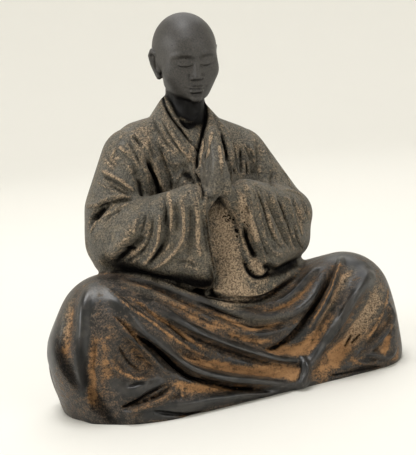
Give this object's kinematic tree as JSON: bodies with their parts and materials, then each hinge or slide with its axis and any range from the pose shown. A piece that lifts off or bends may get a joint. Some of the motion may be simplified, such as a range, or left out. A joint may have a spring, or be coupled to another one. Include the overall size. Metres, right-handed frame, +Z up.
{
  "type": "seated monk figurine",
  "caption": "Small cast figurine of a seated monk in a wide-sleeved robe, palms together, legs crossed under draped cloth, on a flat underside.",
  "frame": {"origin": "middle of the footprint, on the plane of the flat underside", "axes": "+Z up through the head, -Y the way the figure faces, +X towards the figure's left knee"},
  "size_m": [0.1058, 0.0542, 0.1046],
  "materials": {
    "cast_resin": "cold-cast resin with a charcoal patina, softly polished on the folds, with ochre-brown colour left in the hollows"
  },
  "bodies": {
    "root": {"monk_figurine": "cast_resin"}
  },
  "joints": []
}
